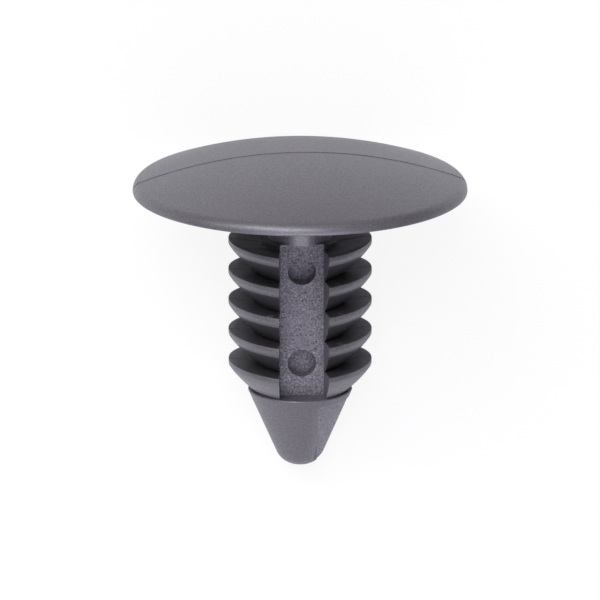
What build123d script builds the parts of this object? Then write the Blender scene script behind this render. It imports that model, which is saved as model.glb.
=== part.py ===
from build123d import *
from math import asin, atan2, cos, degrees, hypot, radians, sin, sqrt, tan
import os

# Push rivet with a domed head and a fir-tree stem, moulded in one piece from nylon.
#
# It is drawn on its own axis: +Z runs up through the head, Z = 0 is the seat under the rim, and the stem goes
# down. The mould opens along Y, so its parting plane is X-Z and every pocket of the stem clears along Y.
# At the end the rivet is laid on its side, on its rim and its nose, as it comes to rest on a bench.
# All sizes are millimetres and degrees.

# ---- head -------------------------------------------------------------------------------------------
HEAD_DIAMETER = 20.0
DOME_RADIUS = 27.6  # of the ball that the top is cut from
RIM_RADIUS = 0.65  # rounding of the head's edge, all on its upper side
RIM_EDGE = 0.08  # rounding of the crisp lower edge
SEAT_WIDTH = 1.2  # flat ring under the rim that bears on the panel
DISH_DEPTH = 0.5  # how far the underside rises from the seat to the neck
NECK_DIAMETER = 3.8
NECK_FILLET = 0.4  # between the neck and the underside

# ---- stem -------------------------------------------------------------------------------------------
FIN_DIAMETER = 8.58  # across the lips, for an 8 mm hole
FIN_COUNT = 5
FIRST_FIN = 2.85  # from the seat to the first lip
FIN_LAND = 0.3  # height of the round lip
FIN_FACE = 0.62  # height of the lip and the taper under it
FIN_TAPER = 0.24  # how far the taper goes in
FIN_OVERLAP = 0.18  # how far past the next lip a fin's back runs before it meets the core
FIN_BELLY = 0.24  # how far the back of a fin bulges
FIN_LIFT = 4.0  # degrees that each half fin tips towards the head
CORE_DIAMETER = 4.84

# ---- channels down the front and the back -------------------------------------------------------------
WEB_THICKNESS = 3.52  # from the floor of one channel to the floor of the other
CHANNEL_WIDTH = 2.6  # at the floor
CHANNEL_DRAFT = 5.2  # degrees on each side wall
PIN_DIAMETER = 1.7  # blind holes that the ejector pins leave in the floor
PIN_DEPTH = 1.05
PIN_FROM_SEAT = (4.5, 10.2)

# ---- tip --------------------------------------------------------------------------------------------
STEM_LENGTH = 16.95  # from the seat to the end of the nose
TIP_LENGTH = 4.75
COLLAR_DIAMETER = 6.24
COLLAR_EDGE = 0.08  # rounding of the collar's top edge
NOSE_RADIUS = 1.35
NOSE_FLAT = 0.38  # diameter of the small flat on the end
RELIEF_OFFSET = 0.9  # from the axis to the step of a relieved quarter
RELIEF_BELOW = 0.45  # from the collar's top down to the relief
RELIEF_SHIFT = (0.14, 0.24)  # the relieved surface is the tip's own, moved inwards and up

FAR = 40.0  # reaches past the whole rivet

# ---- what follows from them --------------------------------------------------------------------------
head_radius = HEAD_DIAMETER / 2
rim_centre = head_radius - RIM_RADIUS
seat_edge = head_radius - RIM_EDGE
dome_centre = RIM_EDGE - sqrt((DOME_RADIUS - RIM_RADIUS) ** 2 - rim_centre**2)
head_height = dome_centre + DOME_RADIUS
rim_lean = atan2(rim_centre, RIM_EDGE - dome_centre)  # where the dome runs into the rim

fin_radius = FIN_DIAMETER / 2
core_radius = CORE_DIAMETER / 2
collar_radius = COLLAR_DIAMETER / 2
web_face = WEB_THICKNESS / 2
collar_top = TIP_LENGTH - STEM_LENGTH
web_top = -FIRST_FIN  # where the neck ends and the channels start
fin_pitch = (web_top - collar_top) / FIN_COUNT  # the last fin ends at the collar
fin_depth = fin_pitch + FIN_OVERLAP
lips = [web_top - fin_pitch * n for n in range(FIN_COUNT)]

nose_flat = NOSE_FLAT / 2
nose_centre = NOSE_RADIUS - STEM_LENGTH
cone_top = collar_top - COLLAR_EDGE
cone_run = hypot(collar_radius - nose_flat, cone_top - nose_centre)
cone = atan2(collar_radius - nose_flat, cone_top - nose_centre) - asin(NOSE_RADIUS / cone_run)  # from the axis
cone_end = (nose_flat + NOSE_RADIUS * cos(cone), nose_centre - NOSE_RADIUS * sin(cone))  # where the nose begins


def on_arc(centre, radius, lean):
    """The point of an arc in the X-Z plane that lies at an angle from straight up, in radians."""
    return (centre[0] + radius * sin(lean), centre[1] + radius * cos(lean))


def turned(outline):
    """The solid that an outline in the X-Z plane sweeps out round the axis."""
    return revolve(Plane.XZ * make_face(outline), Axis.Z)


def head():
    """Domed disc rounded into a crisp lower edge, with a flat seat ring, a dished underside and the neck below."""
    neck_radius = NECK_DIAMETER / 2
    seat_inner = seat_edge - SEAT_WIDTH
    dome = ThreePointArc(
        (0, head_height),
        on_arc((0, dome_centre), DOME_RADIUS, rim_lean / 2),
        on_arc((0, dome_centre), DOME_RADIUS, rim_lean),
    )
    rim = ThreePointArc(
        on_arc((0, dome_centre), DOME_RADIUS, rim_lean),
        on_arc((rim_centre, RIM_EDGE), RIM_RADIUS, (rim_lean + radians(90)) / 2),
        (head_radius, RIM_EDGE),
    )
    edge = ThreePointArc(
        (head_radius, RIM_EDGE), on_arc((seat_edge, RIM_EDGE), RIM_EDGE, radians(135)), (seat_edge, 0)
    )
    underside = Polyline(
        (seat_edge, 0),
        (seat_inner, 0),
        (neck_radius, DISH_DEPTH),
        (neck_radius, web_top),
        (0, web_top),
        (0, head_height),
    )
    section = make_face([dome, rim, edge, *underside.edges()])
    neck_root = section.vertices().sort_by_distance((neck_radius, DISH_DEPTH))[0]
    return revolve(Plane.XZ * fillet(neck_root, NECK_FILLET), Axis.Z)


def half_fin(lip, side):
    """One side of a fin: half a ring with a flat top, a short taper and a bellied back, tipped up a little."""
    lift = radians(FIN_LIFT)
    reach = fin_radius / cos(lift) + FIN_LAND * tan(lift)
    taper_end = (reach - FIN_TAPER, -FIN_FACE)
    back_end = (core_radius, -fin_depth)
    run, fall = back_end[0] - taper_end[0], back_end[1] - taper_end[1]
    slant = hypot(run, fall)
    belly = (
        (taper_end[0] + back_end[0]) / 2 - fall / slant * FIN_BELLY,
        (taper_end[1] + back_end[1]) / 2 + run / slant * FIN_BELLY,
    )
    rim = Polyline((0, -fin_depth), (0, 0), (reach, 0), (reach, -FIN_LAND), taper_end)
    back = ThreePointArc(taper_end, belly, back_end)
    outline = make_face([*rim.edges(), back, Line(back_end, (0, -fin_depth))])
    ring = revolve(Plane.XZ * outline, Axis.Z, 180)
    half = Rot(0, 0, -90 * side) * ring
    return Pos(0, 0, lip - fin_radius * tan(lift)) * Rot(0, -FIN_LIFT * side, 0) * half


def fins():
    """The fir tree: pairs of half fins at equal steps, all trimmed to one diameter."""
    halves = [half_fin(lip, side) for lip in lips for side in (1, -1)]
    return Part() + halves & Cylinder(fin_radius, FAR * 2)


def core():
    """The solid stem between the fins, from just above the first lip down into the tip."""
    return Pos(0, 0, web_top) * Cylinder(
        core_radius, web_top - collar_top, align=(Align.CENTER, Align.CENTER, Align.MAX)
    )


def channel():
    """What one channel takes away: a drafted slot down the front, stopping at the neck and at the collar."""
    half = CHANNEL_WIDTH / 2
    spread = half + (FAR - web_face) * tan(radians(CHANNEL_DRAFT))
    section = make_face(
        Polyline((half, -web_face), (spread, -FAR), (-spread, -FAR), (-half, -web_face), close=True)
    )
    slot = extrude(Plane.XY.offset(collar_top) * section, web_top - collar_top)
    pins = [
        Pos(0, -web_face, -depth) * Rot(90, 0, 0) * Cylinder(PIN_DIAMETER / 2, PIN_DEPTH * 2)
        for depth in PIN_FROM_SEAT
    ]
    return slot + pins


def tip():
    """The bullet: a collar, a cone and a rounded nose."""
    collar_edge = collar_radius - COLLAR_EDGE
    shoulder = Polyline((0, collar_top), (collar_edge, collar_top))
    edge = ThreePointArc(
        (collar_edge, collar_top),
        on_arc((collar_edge, cone_top), COLLAR_EDGE, radians(45)),
        (collar_radius, cone_top),
    )
    side = Line((collar_radius, cone_top), cone_end)
    nose = ThreePointArc(
        cone_end,
        on_arc((nose_flat, nose_centre), NOSE_RADIUS, (radians(270) + cone) / 2),
        (nose_flat, -STEM_LENGTH),
    )
    closing = Polyline((nose_flat, -STEM_LENGTH), (0, -STEM_LENGTH), (0, collar_top))
    return turned([*shoulder.edges(), edge, side, nose, *closing.edges()])


def relieved(bullet):
    """The bullet with two opposite quarters set back a little, each with a step across and a step down its side."""
    inwards, up = RELIEF_SHIFT
    quarter = Pos(RELIEF_OFFSET, 0, collar_top - RELIEF_BELOW) * Box(
        FAR, FAR, FAR, align=(Align.MIN, Align.MAX, Align.MAX)
    )
    waste = quarter - Pos(0, inwards, up) * bullet
    return bullet - waste - Rot(0, 0, 180) * waste


def rivet():
    """The whole moulding on its own axis."""
    stem = core() + fins()
    stem -= channel()
    stem -= Rot(0, 0, 180) * channel()
    return head() + stem + relieved(tip())


def resting_lean():
    """How far the head end of the axis rises when the rim and the nose both touch the bench, in degrees."""
    across = seat_edge - nose_flat
    along = RIM_EDGE - nose_centre
    return degrees(atan2(across, along) - asin((NOSE_RADIUS - RIM_EDGE) / hypot(across, along)))


def at_rest(solid):
    """The rivet on its back on the bench, with Z = 0 under it and the middle of its box over the origin."""
    lying = Rot(resting_lean() - 90, 0, 0) * solid
    box = lying.bounding_box()
    return Pos(-box.center().X, -box.center().Y, -box.min.Z) * lying


os.makedirs("parts", exist_ok=True)
push_rivet = at_rest(rivet())
export_step(push_rivet, "parts/push_rivet.step")
print(f"push_rivet: {push_rivet.volume:.1f} mm3, box {push_rivet.bounding_box().size}")
print(f"leans {resting_lean():.2f} degrees, head {head_height:.2f} mm high, fins every {fin_pitch:.2f} mm, cone at {degrees(cone):.2f} degrees")
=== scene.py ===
# %% [markdown]
# # A plastic push rivet on the bench
# This lesson dresses one small nylon fastener: a domed head, a stem of springy fins and a bullet tip, all
# moulded in one piece. The measured solid comes first, because it fixes the size and the place of
# everything that follows.

# %% Load the measured solid
from math import atan2, cos, degrees, hypot, radians, sin, sqrt, tan
import bpy
from mathutils import Matrix, Vector


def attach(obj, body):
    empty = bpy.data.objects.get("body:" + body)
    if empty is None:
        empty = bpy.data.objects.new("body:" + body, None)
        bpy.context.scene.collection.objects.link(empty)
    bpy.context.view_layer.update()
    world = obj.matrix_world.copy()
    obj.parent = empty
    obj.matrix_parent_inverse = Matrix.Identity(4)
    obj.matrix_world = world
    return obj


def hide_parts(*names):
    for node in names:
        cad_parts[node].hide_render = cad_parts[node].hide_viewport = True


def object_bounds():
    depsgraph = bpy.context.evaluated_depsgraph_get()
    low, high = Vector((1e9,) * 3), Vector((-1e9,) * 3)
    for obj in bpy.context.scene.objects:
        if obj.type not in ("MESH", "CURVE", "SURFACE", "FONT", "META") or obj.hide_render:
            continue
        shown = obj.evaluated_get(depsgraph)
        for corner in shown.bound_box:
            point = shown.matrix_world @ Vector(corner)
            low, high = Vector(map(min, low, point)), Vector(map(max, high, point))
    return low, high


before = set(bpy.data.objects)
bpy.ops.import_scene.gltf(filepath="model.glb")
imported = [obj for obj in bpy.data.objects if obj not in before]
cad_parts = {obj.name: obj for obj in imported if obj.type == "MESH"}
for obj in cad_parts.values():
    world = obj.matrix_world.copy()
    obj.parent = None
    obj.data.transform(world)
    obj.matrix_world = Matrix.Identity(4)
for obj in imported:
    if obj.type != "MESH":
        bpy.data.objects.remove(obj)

bpy.context.view_layer.update()
cad_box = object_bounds()

for corner in cad_box:
    print("a corner of the solid's box, in millimetres:", [round(v * 1000, 2) for v in corner])

# %% [markdown]
# ## How the rivet lies
# It is modelled upright on its own axis, because nearly every part of it is turned round that axis: Z runs
# up through the head, Z = 0 is the seat under the head, and the stem hangs below. Y runs from the front to
# the back. One unit is one millimetre while we work, which keeps small gaps far larger than the tools' own
# merging distances. A later step lays the finished shape on the bench at its real size, with the rim and
# the nose touching it.

# %% From the rivet's own axis to the bench
MM = 0.001
LEAN = radians(27.874792)  # how far the head end of the axis rises from the bench
SEAT_ON_BENCH = Vector((0, 5.0683, 8.8116)) * MM  # where the middle of the seat ends up

laid_down = Matrix.Rotation(LEAN - radians(90), 4, "X")
to_bench = Matrix.Translation(SEAT_ON_BENCH) @ laid_down @ Matrix.Scale(MM, 4)


def on_bench(x, y, z):
    """A point of the upright rivet, in millimetres, as a place on the bench in metres."""
    return to_bench @ Vector((x, y, z))


def way_on_bench(x, y, z):
    """A direction of the upright rivet, once it lies on the bench."""
    return (to_bench.to_3x3() @ Vector((x, y, z))).normalized()


print("the axis points", [round(v, 3) for v in way_on_bench(0, 0, 1)])
print("the front faces", [round(v, 3) for v in way_on_bench(0, -1, 0)])

# %% [markdown]
# ## Camera
# A long lens from far away keeps the head and the tip at one scale, as in a catalogue picture. The camera
# looks at the front of the rivet, raised 16 degrees towards the head and a little from the left. Its own
# up direction follows the rivet's axis, so the head comes out at the top of the picture.

# %% Place the camera
LOOK_DOWN, LOOK_LEFT = radians(16), radians(3.5)
DISTANCE = 0.70
PICTURE_WIDTH = 0.03592  # metres that the picture spans at the rivet
SENSOR_WIDTH = 36
PICTURE_CENTRE = (-0.005, 0, -6.783)  # the point of the upright rivet that the camera is aimed at

aim = on_bench(*PICTURE_CENTRE)
level = cos(LOOK_DOWN)
towards_camera = way_on_bench(-sin(LOOK_LEFT) * level, -cos(LOOK_LEFT) * level, sin(LOOK_DOWN))
picture_up = way_on_bench(0, 0, 1)
picture_up = (picture_up - towards_camera * picture_up.dot(towards_camera)).normalized()
picture_right = picture_up.cross(towards_camera)

bpy.ops.object.select_all(action="DESELECT")
bpy.ops.object.camera_add(location=aim + towards_camera * DISTANCE)
camera = bpy.context.object
camera.name = "camera"
facing = Matrix((picture_right, picture_up, towards_camera)).transposed().to_4x4()
camera.matrix_world = Matrix.Translation(aim + towards_camera * DISTANCE) @ facing
camera.data.sensor_width = SENSOR_WIDTH
camera.data.lens = SENSOR_WIDTH * DISTANCE / PICTURE_WIDTH
camera.data.clip_start, camera.data.clip_end = 0.01, 10
bpy.context.scene.camera = camera
bpy.context.view_layer.update()


def share_of_picture(x, y, z):
    """Where a point of the upright rivet lands, as shares of the picture from its left and its top edge."""
    p = camera.matrix_world.inverted() @ on_bench(x, y, z)
    scale = camera.data.lens / SENSOR_WIDTH
    return round(0.5 + p.x / -p.z * scale, 3), round(0.5 - p.y / -p.z * scale, 3)


print("the middle of the seat lands at", share_of_picture(0, 0, 0))

# %% [markdown]
# ## Drawing an outline by hand
# Every turned shape starts as one vertex that is pulled from corner to corner, as you would with E and G
# in edit mode. A plane is added and merged to its centre, which leaves that one vertex. Sharp corners are
# then rounded with a vertex bevel, and the outline is spun round the axis. The merging distance is far
# smaller than the smallest edge, so it only closes seams and poles.

# %% Helpers for outlines and turned shapes
SAME_PLACE = 0.0005  # points closer than this, in millimetres, are merged


def start_clean():
    """Nothing selected, and no object in edit mode."""
    if bpy.context.object and bpy.context.object.mode != "OBJECT":
        bpy.ops.object.mode_set(mode="OBJECT")
    bpy.ops.object.select_all(action="DESELECT")


def choose(piece):
    """Makes one piece the selected and active one."""
    start_clean()
    piece.select_set(True)
    bpy.context.view_layer.objects.active = piece


def arc(centre, radius, start, end, steps):
    """Points on an arc, angles in degrees from outwards (0) to up (90), without its first point."""
    return [
        (centre[0] + radius * cos(radians(a)), centre[1] + radius * sin(radians(a)))
        for a in (start + (end - start) * n / steps for n in range(1, steps + 1))
    ]


def draw(name, corners):
    """A closed outline of (distance from the axis, height) points, drawn in front of the axis."""
    start_clean()
    bpy.ops.mesh.primitive_plane_add(size=1, location=(0, 0, 0))
    piece = bpy.context.object
    piece.name = piece.data.name = name
    bpy.ops.object.mode_set(mode="EDIT")
    bpy.ops.mesh.select_mode(type="VERT")
    bpy.ops.mesh.select_all(action="SELECT")
    bpy.ops.mesh.merge(type="CENTER")
    bpy.ops.transform.translate(value=(0, -corners[0][0], corners[0][1]))
    for (r0, z0), (r1, z1) in zip(corners, corners[1:]):
        bpy.ops.mesh.extrude_region_move(TRANSFORM_OT_translate={"value": (0, r0 - r1, z1 - z0)})
    bpy.ops.mesh.select_all(action="SELECT")
    bpy.ops.mesh.remove_doubles(threshold=SAME_PLACE)
    return piece


def pick(piece, test, kind="VERT"):
    """Selects the vertices or faces for which test(place or centre) holds, and says how many there are."""
    bpy.ops.object.mode_set(mode="EDIT")
    bpy.ops.mesh.select_mode(type=kind)
    bpy.ops.mesh.select_all(action="DESELECT")
    bpy.ops.object.mode_set(mode="OBJECT")
    items = piece.data.vertices if kind == "VERT" else piece.data.polygons
    for item in items:
        item.select = test(item.co if kind == "VERT" else item.center)
    count = sum(item.select for item in items)
    bpy.ops.object.mode_set(mode="EDIT")
    return count


def round_corners(piece, corners, offset, segments):
    """Rounds the drawn corners at those (distance, height) places."""
    found = pick(piece, lambda p: any(hypot(-p.y - r, p.z - z) < 2 * SAME_PLACE for r, z in corners))
    bpy.ops.mesh.bevel(affect="VERTICES", offset=offset, segments=segments)
    return found


def turn(piece, degrees_round, steps):
    """Spins the whole outline round the axis and leaves a clean shell, normals outwards."""
    bpy.ops.mesh.select_all(action="SELECT")
    bpy.ops.mesh.spin(steps=steps, angle=radians(degrees_round), center=(0, 0, 0), axis=(0, 0, 1))
    bpy.ops.mesh.select_all(action="SELECT")
    bpy.ops.mesh.remove_doubles(threshold=SAME_PLACE)
    bpy.ops.mesh.select_all(action="SELECT")
    bpy.ops.mesh.normals_make_consistent(inside=False)
    bpy.ops.object.mode_set(mode="OBJECT")


def report(piece):
    """Prints how many faces a piece has and the box it fills."""
    low = [round(min(v.co[i] for v in piece.data.vertices), 3) for i in range(3)]
    high = [round(max(v.co[i] for v in piece.data.vertices), 3) for i in range(3)]
    print(piece.name, len(piece.data.polygons), "faces, from", low, "to", high)


# %% [markdown]
# ## The head
# The real head is a shallow dome. Its edge is rounded above and crisp below, and it is dished underneath,
# on a short neck. All of it is round, so one outline turned round the axis makes it. The mould that makes
# it splits along the middle of the head, and its two halves never meet perfectly: the front half of the
# dome sits a hair lower, which leaves the fine line across the top. So the head is turned once, cut in
# two, and one half is moved.

# %% Draw and turn the head
HEAD_RADIUS, DOME_RADIUS, RIM_RADIUS, RIM_EDGE = 10.0, 27.6, 0.65, 0.08
SEAT_WIDTH, DISH_DEPTH, NECK_RADIUS, NECK_FILLET = 1.2, 0.5, 1.9, 0.4
NECK_END = -2.88  # a little below the top of the stem, so that the two overlap
HEAD_STEPS = 192

rim_centre, seat_edge = HEAD_RADIUS - RIM_RADIUS, HEAD_RADIUS - RIM_EDGE
dome_centre = RIM_EDGE - sqrt((DOME_RADIUS - RIM_RADIUS) ** 2 - rim_centre**2)
dome_top = dome_centre + DOME_RADIUS
rim_lean = degrees(atan2(rim_centre, RIM_EDGE - dome_centre))
neck_root = (NECK_RADIUS, DISH_DEPTH)

head = draw(
    "head",
    [(0, dome_top)]
    + arc((0, dome_centre), DOME_RADIUS, 90, 90 - rim_lean, 34)
    + arc((rim_centre, RIM_EDGE), RIM_RADIUS, 90 - rim_lean, 0, 12)
    + arc((seat_edge, RIM_EDGE), RIM_EDGE, 0, -90, 4)
    + [(seat_edge - SEAT_WIDTH, 0), neck_root, (NECK_RADIUS, NECK_END), (0, NECK_END), (0, dome_top)],
)
round_corners(head, [neck_root], NECK_FILLET, 6)
turn(head, 360, HEAD_STEPS)
report(head)

# %% Cut the head along the parting line and set its front half a hair lower
HEAD_MISMATCH, FIN_MISMATCH, OVERLAP = 0.028, 0.012, 0.03  # millimetres


def copy_of(piece, name):
    """A copy with its own mesh."""
    choose(piece)
    bpy.ops.object.duplicate(linked=False)
    twin = bpy.context.object
    twin.name = twin.data.name = name
    return twin


def cut(piece, through, keep_side):
    """Cuts a piece with a plane, keeps the side that keep_side points to, and closes the cut."""
    choose(piece)
    bpy.ops.object.mode_set(mode="EDIT")
    bpy.ops.mesh.select_all(action="SELECT")
    bpy.ops.mesh.bisect(
        plane_co=through, plane_no=keep_side, use_fill=True, clear_inner=True, threshold=SAME_PLACE / 5
    )
    bpy.ops.object.mode_set(mode="OBJECT")


def lower_front_half(piece, name, mismatch):
    """Cuts a piece along the parting line and returns its front half, a hair lower, as a new piece."""
    front = copy_of(piece, name)
    cut(piece, (0, 0, 0), (0, 1, 0))
    cut(front, (0, OVERLAP, 0), (0, -1, 0))
    choose(front)
    bpy.ops.transform.translate(value=(0, 0, -mismatch))
    bpy.ops.object.transform_apply(location=True, rotation=False, scale=False)
    report(front)
    return front


head_front = lower_front_half(head, "head_front", HEAD_MISMATCH)
report(head)

# %% [markdown]
# ## The fir tree
# The fins are what holds the rivet in its hole: five thin rings that bend back on the way in. Each has a
# top that is dished inside its lip, a short upright lip, a taper, and a back that bellies out a little on
# its way down to the core. One long outline down one side of the stem draws all five, and half a turn
# makes one side of the stem. The real fins also tip up a little to each side. That is a slant and not a
# turn, so a lattice of eight points does it: the points at the axis are lowered.

# %% Draw one side of the fir tree and give it half a turn
FIN_RADIUS, CORE_RADIUS = 4.29, 2.42
FIRST_LIP, FIN_PITCH, FIN_COUNT = -2.85, 1.87, 5
LAND, FACE, TAPER = 0.3, 0.62, 0.24  # height of the lip, of lip and taper, and how far the taper goes in
DEPTH, BELLY = 2.05, 0.07  # from a lip down to where its back meets the core, and how far the back bulges
LIP_WIDTH, TOP_DISH = 0.6, 0.12
TOP_ROUNDING, KNEE_ROUNDING, BACK_ROUNDING = 0.035, 0.06, 0.05
COLLAR_TOP = -12.2
STEM_FOOT = COLLAR_TOP - 0.6  # where the side of the stem ends, inside the tip
HALF_TURN_STEPS = 72


def belly_of(lip):
    """The bulging back of one fin, from the end of its taper down to the core."""
    a, b = Vector((FIN_RADIUS - TAPER, lip - FACE)), Vector((CORE_RADIUS, lip - DEPTH))
    chord = b - a
    outwards = Vector((-chord.y, chord.x)).normalized()
    radius = (chord.length / 2) ** 2 / (2 * BELLY) + BELLY / 2
    centre = (a + b) / 2 + outwards * (BELLY - radius)
    first, last = (degrees(atan2(p.y - centre.y, p.x - centre.x)) for p in (a, b))
    return [tuple(a)] + arc(centre, radius, first, last, 9)


lips = [FIRST_LIP - FIN_PITCH * n for n in range(FIN_COUNT)]
outline = [(0, FIRST_LIP), (CORE_RADIUS, FIRST_LIP - TOP_DISH), (FIN_RADIUS - LIP_WIDTH, FIRST_LIP)]
tops, knees, backs = [], [], []
for lip, next_lip in zip(lips, lips[1:] + [STEM_FOOT]):
    outline += [(FIN_RADIUS, lip), (FIN_RADIUS, lip - LAND)]
    tops.append((FIN_RADIUS, lip))
    knees.append((FIN_RADIUS, lip - LAND))
    belly = belly_of(lip)
    backs.append(belly[0])
    above = [p for p in belly if p[1] > next_lip - TOP_DISH]
    if next_lip > COLLAR_TOP:  # the back runs into the dished top of the next fin
        (r0, z0), (r1, z1) = above[-1], belly[len(above)]
        bottom = next_lip - TOP_DISH
        above += [(r0 + (r1 - r0) * (bottom - z0) / (z1 - z0), bottom), (FIN_RADIUS - LIP_WIDTH, next_lip)]
    outline += above
outline += [(CORE_RADIUS, STEM_FOOT), (0, STEM_FOOT), (0, FIRST_LIP)]
tree = draw("fins_left", outline)
print(round_corners(tree, tops, TOP_ROUNDING, 2), "lips rounded above")
print(round_corners(tree, knees, KNEE_ROUNDING, 2), "lips rounded below")
print(round_corners(tree, backs, BACK_ROUNDING, 3), "backs rounded at the end of the taper")
turn(tree, 180, HALF_TURN_STEPS)
report(tree)

# %% Tip the fins up with a lattice
FIN_LIFT = radians(4)
CAGE_MARGIN, CAGE_SLACK = 0.1, 0.01  # past the stem above and below, and past the fins as a share of them

drop = FIN_RADIUS * tan(FIN_LIFT)
top, bottom = FIRST_LIP + CAGE_MARGIN, STEM_FOOT - CAGE_MARGIN
start_clean()
bpy.ops.object.add(type="LATTICE", location=(-FIN_RADIUS / 2, 0, (top + bottom) / 2))
cage = bpy.context.object
cage.scale = (FIN_RADIUS * (1 + CAGE_SLACK), FIN_RADIUS * (2 + CAGE_SLACK), top - bottom)
for direction in "uvw":
    setattr(cage.data, "points_" + direction, 2)
    setattr(cage.data, "interpolation_type_" + direction, "KEY_LINEAR")
for point in cage.data.points:
    if point.co.x > 0:
        point.co_deform.z -= drop / cage.scale.z


def apply_modifier(piece, kind, **settings):
    """Adds a modifier with these settings and applies it at once."""
    choose(piece)
    modifier = piece.modifiers.new(kind.lower(), kind)
    for key, value in settings.items():
        setattr(modifier, key, value)
    bpy.ops.object.modifier_apply(modifier=modifier.name)


apply_modifier(tree, "LATTICE", object=cage)
bpy.data.objects.remove(cage)
report(tree)

# %% [markdown]
# ## The channels
# Two channels run down the front and the back of the stem and cut every fin into a left and a right half,
# so that the mould can open. Their side walls lean outwards by five degrees. One side of the stem is cut
# with the two leaning planes and a copy is turned round to the other side. A plain web between them is the
# floor of both channels.

# %% Cut the channel walls and turn a copy round to the other side
WEB_FACE, CHANNEL_HALF, CHANNEL_DRAFT = 1.76, 1.3, radians(5.2)  # depth and half width at the floor


def cut_channel_walls(piece, side):
    """Cuts one side of the stem, side -1 for left and 1 for right, back to its two channel walls."""
    for face in (-1, 1):
        foot_of_wall = (side * CHANNEL_HALF, face * WEB_FACE, 0)
        cut(piece, foot_of_wall, (side * cos(CHANNEL_DRAFT), -face * sin(CHANNEL_DRAFT), 0))


cut_channel_walls(tree, -1)
tree_right = copy_of(tree, "fins_right")
tree_right.rotation_euler = (0, 0, radians(180))
bpy.ops.object.transform_apply(location=False, rotation=True, scale=False)
fronts = [lower_front_half(side, side.name + "_front", FIN_MISMATCH) for side in (tree, tree_right)]
report(tree)
report(tree_right)

# %% The web and the two shoulders at the top of the core
INTO_FINS, INTO_TIP = 0.15, 0.2  # how far the web runs into its neighbours
SHOULDER_HEIGHT, ABOVE_LIP = 0.6, 0.005  # the shoulders fill the core that the tipping lowered

web_foot = COLLAR_TOP - INTO_TIP
start_clean()
bpy.ops.mesh.primitive_cube_add(size=1, location=(0, 0, (FIRST_LIP + web_foot) / 2))
web = bpy.context.object
web.name = web.data.name = "web"
web.scale = (2 * (CHANNEL_HALF + INTO_FINS), 2 * WEB_FACE, FIRST_LIP - web_foot)
bpy.ops.object.transform_apply(location=True, rotation=False, scale=True)
report(web)

start_clean()
middle_of_shoulder = (0, 0, FIRST_LIP + ABOVE_LIP - SHOULDER_HEIGHT / 2)
bpy.ops.mesh.primitive_cylinder_add(
    vertices=2 * HALF_TURN_STEPS, radius=CORE_RADIUS, depth=SHOULDER_HEIGHT, location=middle_of_shoulder
)
shoulder = bpy.context.object
shoulder.name = shoulder.data.name = "shoulder_left"
bpy.ops.object.transform_apply(location=True, rotation=False, scale=False)
shoulder_right = copy_of(shoulder, "shoulder_right")
cut_channel_walls(shoulder, -1)
cut_channel_walls(shoulder_right, 1)
report(shoulder)

# %% [markdown]
# ## The bullet tip
# The tip finds the hole. It is a collar, a cone and a blunt nose, turned from one outline. Two opposite
# quarters stand back from the rest by about two tenths of a millimetre. What stays of such a quarter is a
# copy of the tip itself, moved in and up, so the block that is taken away has that copy cut out of it. The
# long edge beside the quarter is soft, so a bar with a hollow side is joined to the block there.

# %% Draw and turn the tip
STEM_END, COLLAR_RADIUS, NOSE_RADIUS, NOSE_FLAT = -16.95, 3.12, 1.35, 0.19
COLLAR_EDGE = 0.08
NOSE_START = 0.0001  # degrees above the point where the cone runs into the nose
CONE_STEPS = (0.35, 1.2, 2.1, 3.0)  # down the cone: rings that keep its faces short

nose_centre = STEM_END + NOSE_RADIUS
cone_top = (COLLAR_RADIUS, COLLAR_TOP - COLLAR_EDGE)
across, along = COLLAR_RADIUS - NOSE_FLAT, cone_top[1] - nose_centre
CONE = atan2(across, along) - atan2(NOSE_RADIUS, sqrt(across**2 + along**2 - NOSE_RADIUS**2))
tip = draw(
    "tip",
    [(0, COLLAR_TOP), (COLLAR_RADIUS - COLLAR_EDGE, COLLAR_TOP)]
    + arc((COLLAR_RADIUS - COLLAR_EDGE, cone_top[1]), COLLAR_EDGE, 90, 0, 4)
    + [(COLLAR_RADIUS - down * tan(CONE), cone_top[1] - down) for down in CONE_STEPS]
    + arc((NOSE_FLAT, nose_centre), NOSE_RADIUS, NOSE_START - degrees(CONE), -90, 14)
    + [(0, STEM_END), (0, COLLAR_TOP)],
)
turn(tip, 360, 2 * HALF_TURN_STEPS)
report(tip)
print("the cone leans", round(degrees(CONE), 2), "degrees")

# %% A block over the quarter
RELIEF_OFFSET, RELIEF_TOP = 0.95, -12.65  # from the axis to the quarter's side, and the height of its top
RELIEF_IN, RELIEF_UP = 0.14, 0.24  # how far the copy of the tip is moved
BLOCK = 8  # larger than the tip

start_clean()
middle_of_block = (RELIEF_OFFSET + BLOCK / 2, -BLOCK / 2, RELIEF_TOP - BLOCK / 2)
bpy.ops.mesh.primitive_cube_add(size=BLOCK, location=middle_of_block)
waste = bpy.context.object
waste.name = "waste_front"
bpy.ops.object.transform_apply(location=True, rotation=False, scale=False)
report(waste)

# %% A bar with a hollow side for the soft long edge
SOFT_EDGE, SOFT_START, SOFT_DEPTH = 0.9, 0.3, 0.4  # radius, how far right of the front it begins, depth
SOFT_MIDDLE = -14.2  # height at which the bar touches the cone
BAR_LEFT, BAR_OUT, BAR_RIGHT = -0.4, 0.9, 0.1  # how far the bar's section reaches round the hollow
CLEAR = 0.004  # keeps the bar just off the cone beside the edge

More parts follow.
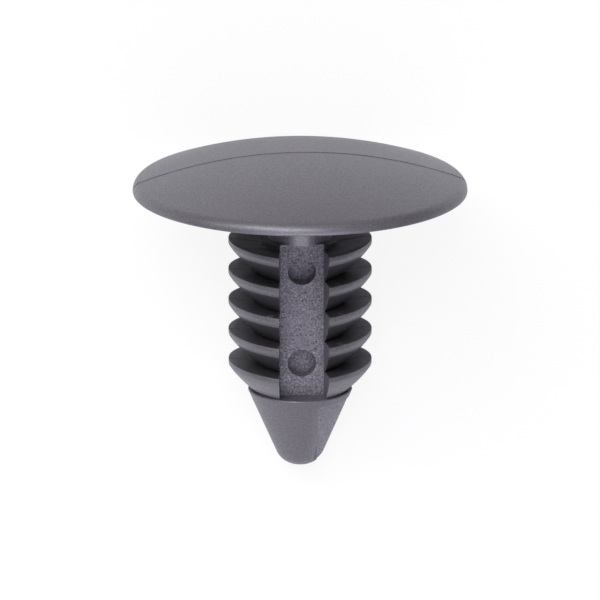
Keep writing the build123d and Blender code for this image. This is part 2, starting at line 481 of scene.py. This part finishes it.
to_the_side = sqrt(SOFT_EDGE**2 - (SOFT_EDGE - SOFT_DEPTH) ** 2)
soft_end = 90 - degrees(atan2(to_the_side, SOFT_EDGE - SOFT_DEPTH))
hollow = [(0, 0)] + arc((0, -SOFT_EDGE), SOFT_EDGE, 90, soft_end, 14)
bar_end, bar_floor = hollow[-1][0] + BAR_RIGHT, hollow[-1][1]
left_side = [(BAR_LEFT, BAR_OUT), (BAR_LEFT, CLEAR)]
right_side = [(bar_end, bar_floor), (bar_end, BAR_OUT), (BAR_LEFT, BAR_OUT)]
bar = draw("soft_edge_bar", left_side + hollow + right_side)
bpy.ops.mesh.select_all(action="SELECT")
bpy.ops.mesh.edge_face_add()
bpy.ops.mesh.extrude_region_move(TRANSFORM_OT_translate={"value": (BLOCK, 0, 0)})
bpy.ops.mesh.select_all(action="SELECT")
bpy.ops.mesh.normals_make_consistent(inside=False)
bpy.ops.object.mode_set(mode="OBJECT")
report(bar)

# %% Lay the bar along the cone and join it to the block
def boolean(piece, other, operation):
    """Joins another closed piece to this one, or takes it away, and removes the other."""
    apply_modifier(piece, "BOOLEAN", object=other, operation=operation, solver="MANIFOLD")
    bpy.data.objects.remove(other)


middle_radius = COLLAR_RADIUS + (SOFT_MIDDLE - cone_top[1]) * tan(CONE)
turned_by = atan2(SOFT_START, middle_radius)
across_edge = Vector((cos(turned_by), sin(turned_by), 0))
outwards = Vector((sin(turned_by) * cos(CONE), -cos(turned_by) * cos(CONE), -sin(CONE)))
along_edge = outwards.cross(across_edge)
touching = Vector((middle_radius * sin(turned_by), -middle_radius * cos(turned_by), SOFT_MIDDLE))

choose(bar)
bar_ways = Matrix((along_edge, -across_edge, outwards)).transposed().to_4x4()
bar.matrix_world = Matrix.Translation(touching - along_edge * BLOCK / 2) @ bar_ways
bpy.ops.object.transform_apply(location=True, rotation=True, scale=False)
cut(bar, (0, 0, RELIEF_TOP), (0, 0, -1))
boolean(waste, bar, "UNION")
report(waste)

# %% Cut the moved copy of the tip out of the block, and take away both quarters
inner = copy_of(tip, "inner_tip")
bpy.ops.transform.translate(value=(0, RELIEF_IN, RELIEF_UP))
bpy.ops.object.transform_apply(location=True, rotation=False, scale=False)
boolean(waste, inner, "DIFFERENCE")

waste_back = copy_of(waste, "waste_back")
waste_back.rotation_euler = (0, 0, radians(180))
bpy.ops.object.transform_apply(location=False, rotation=True, scale=False)
boolean(tip, waste, "DIFFERENCE")
boolean(tip, waste_back, "DIFFERENCE")
report(tip)

# %% [markdown]
# ## One moulding
# The real rivet has no joints: head, web, fins and tip are one piece of nylon. The closed shapes overlap a
# little, so boolean unions run them together into one closed skin.

# %% Run the shapes together
moulding = web
for part in (tree, tree_right, *fronts, shoulder, shoulder_right, tip, head, head_front):
    boolean(moulding, part, "UNION")
moulding.name = moulding.data.name = "push_rivet_moulding"
report(moulding)

# %% [markdown]
# ## Ejector pin holes
# Pins push the finished rivet out of the mould, and each leaves a blind round hole in the floor of its
# channel. A cylinder is taken away for each, half of it in front of the floor.

# %% Sink the pin holes
PIN_RADIUS, PIN_DEPTH, PIN_HEIGHTS = 0.85, 1.05, (-4.5, -10.2)

for face in (-1, 1):
    for height in PIN_HEIGHTS:
        start_clean()
        bpy.ops.mesh.primitive_cylinder_add(
            vertices=64,
            radius=PIN_RADIUS,
            depth=2 * PIN_DEPTH,
            location=(0, face * WEB_FACE, height),
            rotation=(radians(90), 0, 0),
        )
        pin = bpy.context.object
        bpy.ops.object.transform_apply(location=True, rotation=True, scale=False)
        boolean(moulding, pin, "DIFFERENCE")
report(moulding)

# %% [markdown]
# ## Flash
# Where the mould's parts meet, a little nylon squeezes out and tears off, and it leaves specks on the
# lips. They are grains a tenth of a millimetre across, so small balls do, half sunk into the lips and
# joined to them.

# %% Sow the specks along the lips
FLASH = [  # number of the fin, across from the axis, down from the lip's upper edge, size
    (1, -2.28, 0.19, 0.045), (1, -1.63, 0.28, 0.050), (2, -1.50, 0.27, 0.060), (2, -1.52, 0.14, 0.055),
    (3, -3.22, 0.05, 0.040), (3, -2.16, 0.02, 0.060), (3, -1.95, 0.10, 0.055), (3, -1.66, 0.28, 0.060),
    (3, -1.45, 0.20, 0.055), (4, -1.62, 0.28, 0.045), (5, -1.60, 0.26, 0.075), (2, 2.20, 0.02, 0.045),
    (3, 2.45, 0.02, 0.050), (3, 2.70, 0.04, 0.040), (4, 2.45, 0.02, 0.055), (4, 2.66, 0.03, 0.045),
    (4, 1.86, 0.08, 0.050), (5, 3.00, 0.03, 0.040), (3, 2.06, 0.05, 0.045),
]
SPECK_SHAPE = (1.3, 0.8, 0.9)  # longer across than they are deep or high


def speck(fin, across, down, size):
    """One grain of flash on the lip of a fin. The lip sinks towards the channel, because the fins tip up."""
    height = lips[fin - 1] - drop * (1 - abs(across) / FIN_RADIUS) - FIN_MISMATCH - down
    start_clean()
    place = (across, -sqrt(FIN_RADIUS**2 - across**2), height)
    bpy.ops.mesh.primitive_ico_sphere_add(subdivisions=2, radius=size, location=place)
    grain = bpy.context.object
    grain.scale = SPECK_SHAPE
    bpy.ops.object.transform_apply(location=True, rotation=False, scale=True)
    return grain


specks = [speck(*place) for place in FLASH]
for grain in specks:
    grain.select_set(True)
bpy.context.view_layer.objects.active = specks[0]
bpy.ops.object.join()
boolean(moulding, specks[0], "UNION")
report(moulding)

# %% [markdown]
# ## Where each finish goes
# The finishes show how the mould was made. Most of the rivet has a fine satin grain. The channel floors,
# and a little more finely the relieved quarters, were sunk with an electrode, which leaves a coarse
# grain, with painted glints in its colour. The pockets between the fins get a far darker grey, which is
# painted shade: the head and the neighbouring fins keep the light out of them. Each finish and the painted
# shade is a material slot, and the faces are picked by where they are while the rivet is still upright.

# %% Pick the faces of each finish
# The last slot is not a finish: it holds the painted shade of the pockets between the fins.
SATIN, ROUGH, ROUGH_TIP, POCKET_SHADE = 0, 1, 2, 3
ON_SURFACE, FLUSH = 0.02, 0.003  # how far off a surface the middle of one of its faces may be, in millimetres
INSIDE_PIN_HOLE = 0.6  # less than a pin hole's floor is from the parting plane
RELIEF_FROM_MIDDLE = 0.5  # the relieved quarters lie further than this from the middle of the front
LAST_POCKET = 0.5  # how far below the last lip the painted pocket shade ends
INSIDE_TAPER = 0.015  # keeps the rounded end of the taper satin


def on_floor(p):
    """Whether a place on the upright rivet is on a channel floor or in a pin hole."""
    x, y, z = p
    on_web = abs(x) < CHANNEL_HALF + ON_SURFACE / 2 and COLLAR_TOP < z < FIRST_LIP - ON_SURFACE / 2
    return on_web and INSIDE_PIN_HOLE < abs(y) < WEB_FACE + FLUSH


def on_relief(p):
    """Whether a place is on a relieved quarter of the tip, which is the cone moved in and up."""
    x, y, z = p
    side = -1 if y < 0 else 1
    cone_here = COLLAR_RADIUS + (z - RELIEF_UP - cone_top[1]) * tan(CONE)
    off_cone = abs(hypot(x, y + side * RELIEF_IN) - cone_here)
    return z < RELIEF_TOP and x * side < -RELIEF_FROM_MIDDLE and off_cone < ON_SURFACE


# The faces it picks get the painted pocket shade, a dark grey for the shade that falls between the fins.
def in_pocket(p):
    """Whether a place is between two fins: on a back, on a top, or on the core."""
    x, y, z = p
    from_wall = abs(x) - CHANNEL_HALF - (abs(y) - WEB_FACE) * tan(CHANNEL_DRAFT)
    in_height = lips[-1] - LAST_POCKET < z < FIRST_LIP + ON_SURFACE / 2
    return in_height and from_wall > ON_SURFACE and hypot(x, y) < FIN_RADIUS - TAPER - INSIDE_TAPER


names = ("satin_nylon", "spark_grained_nylon", "spark_grained_tip_nylon", "painted_pocket_shade")
finishes = [bpy.data.materials.new(name) for name in names]
satin, rough, rough_tip, pocket_shade = finishes
moulding.data.materials.clear()
for finish in finishes:
    moulding.data.materials.append(finish)
choose(moulding)
for slot, test in ((ROUGH, on_floor), (ROUGH_TIP, on_relief), (POCKET_SHADE, in_pocket)):
    print(pick(moulding, test, "FACE"), "faces get", finishes[slot].name)
    moulding.active_material_index = slot
    bpy.ops.object.material_slot_assign()
    bpy.ops.object.mode_set(mode="OBJECT")
moulding.active_material_index = SATIN

# %% [markdown]
# ## Onto the bench
# The finished shape is laid down and shrunk to its real size, and both are applied, so that its mesh holds
# its place. Faces that meet at less than 32 degrees are shaded smooth, which keeps the lips and the steps
# crisp.

# %% Lay it on the bench at its real size
choose(moulding)
moulding.matrix_world = to_bench
bpy.ops.object.transform_apply(location=True, rotation=True, scale=True)
bpy.ops.object.shade_smooth_by_angle(angle=radians(32))
report(moulding)

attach(moulding, "root")
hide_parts("push_rivet")

# %% [markdown]
# ## Nylon
# The rivet is dark grey nylon, coloured right through, so nothing on it is worn to another colour. The dark
# pockets, though, are painted shade. What the eye sees is grain: moulded nylon copies the steel, and cools to
# a satin skin that is never quite even. One recipe serves all four materials. Its numbers say how coarse and
# how deep the grain is, how far the tone wanders from grain to grain and from patch to patch, and how bright
# the few painted glints are.

# %% A nylon with a moulded grain
PATCH_SIZE = 0.0025  # metres
GLINT_SIZE, GLINT_FROM, GLINT_FULL = 0.9, 0.66, 0.76  # share of the grain's size, and the noise at which the painted glints start and are full
GLOSS_SPREAD = 0.08  # how much smoother the top of a grain is
SHEEN = 0.92  # a glossier skin than the shader's plain plastic, which has 0.5


def nylon(material, colour, roughness, grain, depth, spread, patches, glints):
    """Fills in a material. grain and depth are metres; spread, patches and glints (painted highlights) are
    shares of the tone.
    """
    material.use_nodes = True
    tree = material.node_tree
    nodes, links = tree.nodes, tree.links
    shader = nodes["Principled BSDF"]
    place = nodes.new("ShaderNodeTexCoord")

    def noise(size, detail, sharpness):
        """Cloudy noise on the rivet itself, with clouds of this size in metres."""
        node = nodes.new("ShaderNodeTexNoise")
        node.inputs["Scale"].default_value = 1 / size
        node.inputs["Detail"].default_value = detail
        node.inputs["Roughness"].default_value = sharpness
        links.new(place.outputs["Object"], node.inputs["Vector"])
        return node.outputs["Fac"]

    def spread_out(value, low, high, start=0.3, end=0.7):
        """Stretches noise, which mostly keeps between start and end, over the range from low to high."""
        node = nodes.new("ShaderNodeMapRange")
        node.inputs["From Min"].default_value, node.inputs["From Max"].default_value = start, end
        node.inputs["To Min"].default_value, node.inputs["To Max"].default_value = low, high
        links.new(value, node.inputs["Value"])
        return node.outputs["Result"]

    def product(a, b):
        """One value times another."""
        node = nodes.new("ShaderNodeMath")
        node.operation = "MULTIPLY"
        links.new(a, node.inputs[0])
        links.new(b, node.inputs[1])
        return node.outputs["Value"]

    fine, broad, sparse = noise(grain, 3, 0.65), noise(PATCH_SIZE, 2, 0.5), noise(grain * GLINT_SIZE, 1, 0.4)
    tone = product(spread_out(fine, 1 - spread, 1 + spread), spread_out(broad, 1 - patches, 1 + patches))
    # Painted glints: sparse spots of this noise brighten the colour, standing in for light that sparkles off
    # the grain.
    tone = product(tone, spread_out(sparse, 1, 1 + glints, GLINT_FROM, GLINT_FULL))

    tint = nodes.new("ShaderNodeVectorMath")
    tint.operation = "SCALE"
    tint.inputs[0].default_value = colour
    links.new(tone, tint.inputs["Scale"])
    links.new(tint.outputs["Vector"], shader.inputs["Base Color"])
    gloss = spread_out(fine, roughness + GLOSS_SPREAD, roughness - GLOSS_SPREAD)
    links.new(gloss, shader.inputs["Roughness"])
    shader.inputs["Specular IOR Level"].default_value = SHEEN

    bump = nodes.new("ShaderNodeBump")
    bump.inputs["Strength"].default_value = 1
    bump.inputs["Distance"].default_value = depth
    links.new(fine, bump.inputs["Height"])
    links.new(bump.outputs["Normal"], shader.inputs["Normal"])
    print(material.name, "has a grain of", round(grain * 1000, 3), "mm")


# %% The four finishes
# The darkest grey is painted shade for the pockets between the fins, where the head and the neighbouring fins
# keep the light out.
GREY, FLOOR_GREY = (0.092, 0.0875, 0.095), (0.136, 0.128, 0.145)
TIP_GREY, POCKET_SHADE_GREY = (0.142, 0.135, 0.149), (0.031, 0.030, 0.032)

nylon(satin, GREY, roughness=0.40, grain=9e-5, depth=4e-6, spread=0.44, patches=0.03, glints=0.15)
nylon(rough, FLOOR_GREY, roughness=0.36, grain=1.1e-4, depth=1.1e-4, spread=0.95, patches=0.04, glints=1.6)
nylon(rough_tip, TIP_GREY, roughness=0.36, grain=1.1e-4, depth=5.5e-5, spread=0.65, patches=0.04, glints=0.8)
nylon(pocket_shade, POCKET_SHADE_GREY, roughness=0.40, grain=1.6e-4, depth=6e-6, spread=0.12, patches=0.06, glints=0)

# %% [markdown]
# ## Bench and light
# The bench is a white sheet. The camera sees it mostly as plain white, and the rest of what it shows is
# its own light, so a soft shadow of the rivet stays on it. The room is plain white to the camera too, but
# it lights the rivet only a little: the soft boxes do that.

# %% Lay the bench
BENCH_SIZE = 4
SHEET_WHITE, SHEET_SHARE = (0.8, 0.8, 0.8, 1), 0.88  # its own colour, and how far the camera sees plain white
ROOM_LIGHT = 0.05


def seen_white(tree, surface, output, share):
    """Shows the camera this share of plain white, and the rest of the surface itself."""
    path = tree.nodes.new("ShaderNodeLightPath")
    amount = tree.nodes.new("ShaderNodeMath")
    amount.operation = "MULTIPLY"
    amount.inputs[1].default_value = share
    tree.links.new(path.outputs["Is Camera Ray"], amount.inputs[0])
    on_world = output.bl_idname == "ShaderNodeOutputWorld"
    plain = tree.nodes.new("ShaderNodeBackground" if on_world else "ShaderNodeEmission")
    plain.inputs["Color"].default_value = (1, 1, 1, 1)
    plain.inputs["Strength"].default_value = 1
    mix = tree.nodes.new("ShaderNodeMixShader")
    tree.links.new(amount.outputs["Value"], mix.inputs["Fac"])
    tree.links.new(surface, mix.inputs[1])
    tree.links.new(plain.outputs[0], mix.inputs[2])
    tree.links.new(mix.outputs["Shader"], output.inputs["Surface"])


start_clean()
bpy.ops.mesh.primitive_plane_add(size=BENCH_SIZE, location=(0, 0, 0))
floor = bpy.context.object
floor.name = "floor"
white = bpy.data.materials.new("white_sheet")
white.use_nodes = True
paper = white.node_tree.nodes["Principled BSDF"]
paper.inputs["Base Color"].default_value = SHEET_WHITE
paper.inputs["Roughness"].default_value = 0.9
seen_white(white.node_tree, paper.outputs["BSDF"], white.node_tree.nodes["Material Output"], SHEET_SHARE)
floor.data.materials.append(white)
print("the bench is", BENCH_SIZE, "metres wide")

# %% The room
world = bpy.data.worlds.new("studio")
bpy.context.scene.world = world
world.use_nodes = True
around = world.node_tree.nodes["Background"]
around.inputs["Color"].default_value = (1, 1, 1, 1)
around.inputs["Strength"].default_value = ROOM_LIGHT
seen_white(world.node_tree, around.outputs["Background"], world.node_tree.nodes["World Output"], 1.0)
print("the room gives", ROOM_LIGHT, "of a full light")

# %% [markdown]
# ## Soft boxes
# Four of them stand half a metre away. A wide one beyond the nose, a little violet, lights the lips of the
# fins, the web and the cone, and leaves the pockets dark, which their painted shade makes darker still. One
# almost overhead draws the bright band along the edge of the head. A low one behind the head and a small one
# on the left fill in the dome.

# %% Set up the soft boxes
LAMP_DISTANCE = 0.5


def softbox(name, round_from_nose, height, size, watts, colour):
    """A lamp that faces the rivet. Its place is in degrees: left from the nose side, and up."""
    turn_left, up = radians(round_from_nose), radians(height)
    towards = Vector((-sin(turn_left) * cos(up), -cos(turn_left) * cos(up), sin(up)))
    start_clean()
    bpy.ops.object.light_add(type="AREA", location=towards * LAMP_DISTANCE)
    lamp = bpy.context.object
    lamp.name = name
    lamp.data.shape, lamp.data.size, lamp.data.size_y = "RECTANGLE", size[0], size[1]
    lamp.data.energy, lamp.data.color = watts, colour
    lamp.rotation_euler = towards.to_track_quat("Z", "Y").to_euler()
    print(name, "stands towards", [round(v, 2) for v in towards])


softbox("nose_lamp", 0, 45, (0.56, 0.36), 2.35, (0.86, 0.84, 1.0))
softbox("head_lamp", 180, 32, (0.50, 0.36), 0.30, (1.0, 1.0, 0.97))
softbox("overhead_lamp", 134, 71, (0.24, 0.40), 2.20, (0.93, 0.92, 1.0))
softbox("left_lamp", 110, 40, (0.20, 0.20), 0.30, (1.0, 1.0, 0.95))

# %% Plain colour view, and the end
bpy.context.scene.view_settings.view_transform = "Standard"
bpy.context.view_layer.update()
